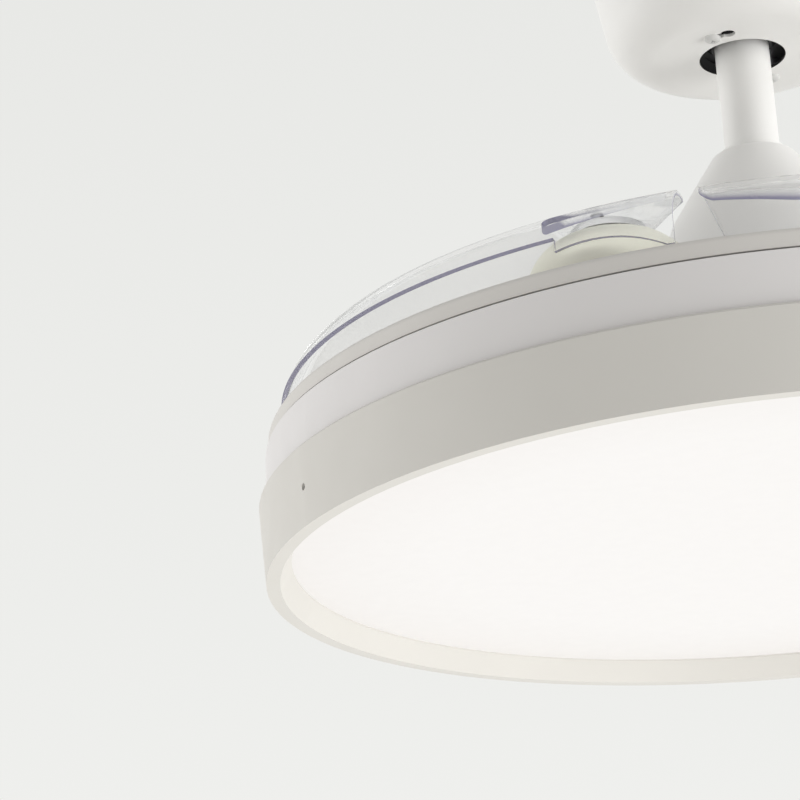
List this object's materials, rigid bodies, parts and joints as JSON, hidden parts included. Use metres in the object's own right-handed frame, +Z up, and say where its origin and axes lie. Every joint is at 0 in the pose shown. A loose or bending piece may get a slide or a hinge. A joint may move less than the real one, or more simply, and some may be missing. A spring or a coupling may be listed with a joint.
{
  "type": "ceiling fan",
  "caption": "white ceiling fan with clear blades that fold round a lamp drum and swing out when the rotor turns, on a down rod with a bowl canopy",
  "frame": {"origin": "centre of the ceiling bracket's top face, where it meets the ceiling", "axes": "+Z up along the motor shaft, Y along the bracket's screw slots, the fan hangs towards -Z"},
  "size_m": [0.501, 0.501, 0.32],
  "materials": {
    "white_metal": "satin white paint",
    "bracket_steel": "zinc-plated sheet",
    "bright_steel": "bright steel",
    "zinc_plate": "zinc plated",
    "ball_plastic": "dark grey moulding",
    "yoke_iron": "dark casting",
    "black_rubber": "soft rubber",
    "core_iron": "laminated steel",
    "copper_wire": "enamelled copper",
    "magnet": "ferrite",
    "cast_case": "cast",
    "white_shell": "satin white moulding",
    "ring_shell": "satin warm white",
    "opal": "opal, lit",
    "clear_blade": "clear moulding",
    "gear_nylon": "natural nylon",
    "bush_bronze": "sintered bronze",
    "board": "white solder mask",
    "chip": "phosphor cap",
    "box_plastic": "plain moulding",
    "terminal_plastic": "plain moulding"
  },
  "bodies": {
    "ceiling_side": {"ceiling_bracket": "bracket_steel", "canopy": "white_metal", "canopy_screws": "bright_steel", "receiver_box": "box_plastic", "terminal_block": "terminal_plastic"},
    "hanging_side": {"hanger_ball": "ball_plastic", "hanger_pin": "bright_steel", "ball_set_screw": "bright_steel", "downrod": "white_metal", "rod_yoke": "yoke_iron", "yoke_bolt": "bright_steel", "yoke_clip": "bright_steel", "yoke_set_screws": "bright_steel", "bell_grommet": "black_rubber", "bell_cover": "white_metal", "motor_shaft": "bright_steel", "stator_core": "core_iron", "stator_windings": "copper_wire", "upper_bearing": "bright_steel", "lower_bearing": "bright_steel", "lamp_plate": "zinc_plate", "lamp_plate_screws": "bright_steel", "shaft_nut": "bright_steel", "lamp_pan": "white_shell", "lamp_ring": "ring_shell", "lamp_ring_screws": "bright_steel", "led_board": "board", "led_chips": "chip", "led_driver": "box_plastic", "diffuser": "opal"},
    "rotor": {"rotor_top_case": "cast_case", "rotor_bottom_case": "cast_case", "rotor_magnets": "magnet", "rotor_case_screws": "bright_steel", "blade_tray": "white_shell", "tray_screws": "bright_steel", "pivot_bushes": "bush_bronze", "sync_guides": "gear_nylon", "hub_cover_1": "white_shell", "hub_cover_2": "white_shell", "hub_cover_3": "white_shell", "return_spring_1": "bright_steel", "return_spring_2": "bright_steel", "return_spring_3": "bright_steel"},
    "timing": {"sync_ring": "gear_nylon"},
    "blade_arm_1": {"blade_1": "clear_blade", "blade_pivot_1": "bright_steel", "blade_pinion_1": "gear_nylon", "blade_screws_1": "bright_steel"},
    "blade_arm_2": {"blade_2": "clear_blade", "blade_pivot_2": "bright_steel", "blade_pinion_2": "gear_nylon", "blade_screws_2": "bright_steel"},
    "blade_arm_3": {"blade_3": "clear_blade", "blade_pivot_3": "bright_steel", "blade_pinion_3": "gear_nylon", "blade_screws_3": "bright_steel"}
  },
  "joints": [
    {"name": "hanger_tilt", "type": "hinge", "parent": "ceiling_side", "child": "hanging_side", "pos_m": [0, 0, -0.037], "axis": [1, 0, 0], "range_deg": [-10, 10]},
    {"name": "rotor_spin", "type": "hinge", "parent": "hanging_side", "child": "rotor", "pos_m": [0, 0, -0.2288], "axis": [0, 0, 1], "continuous": true},
    {"name": "blade_1_swing", "type": "hinge", "parent": "rotor", "child": "blade_arm_1", "pos_m": [0.02503, -0.1954, -0.24], "axis": [0, 0, 1], "range_deg": [0, 140], "stiffness_Nm_per_rad": 0.03, "springref_deg": -17.19},
    {"name": "blade_2_swing", "type": "hinge", "parent": "rotor", "child": "blade_arm_2", "pos_m": [0.15671, 0.11938, -0.24], "axis": [0, 0, 1], "range_deg": [0, 140], "stiffness_Nm_per_rad": 0.03, "springref_deg": -17.19},
    {"name": "blade_3_swing", "type": "hinge", "parent": "rotor", "child": "blade_arm_3", "pos_m": [-0.18174, 0.07602, -0.24], "axis": [0, 0, 1], "range_deg": [0, 140], "stiffness_Nm_per_rad": 0.03, "springref_deg": -17.19},
    {"name": "timing_turn", "type": "hinge", "parent": "rotor", "child": "timing", "pos_m": [0, 0, -0.2545], "axis": [0, 0, 1], "range_deg": [-18.7, 0.1]}
  ],
  "couplings": [
    {"joint": "blade_2_swing", "follows": "blade_1_swing", "ratio": 1},
    {"joint": "blade_3_swing", "follows": "blade_1_swing", "ratio": 1},
    {"joint": "timing_turn", "follows": "blade_1_swing", "ratio": -0.13333}
  ]
}
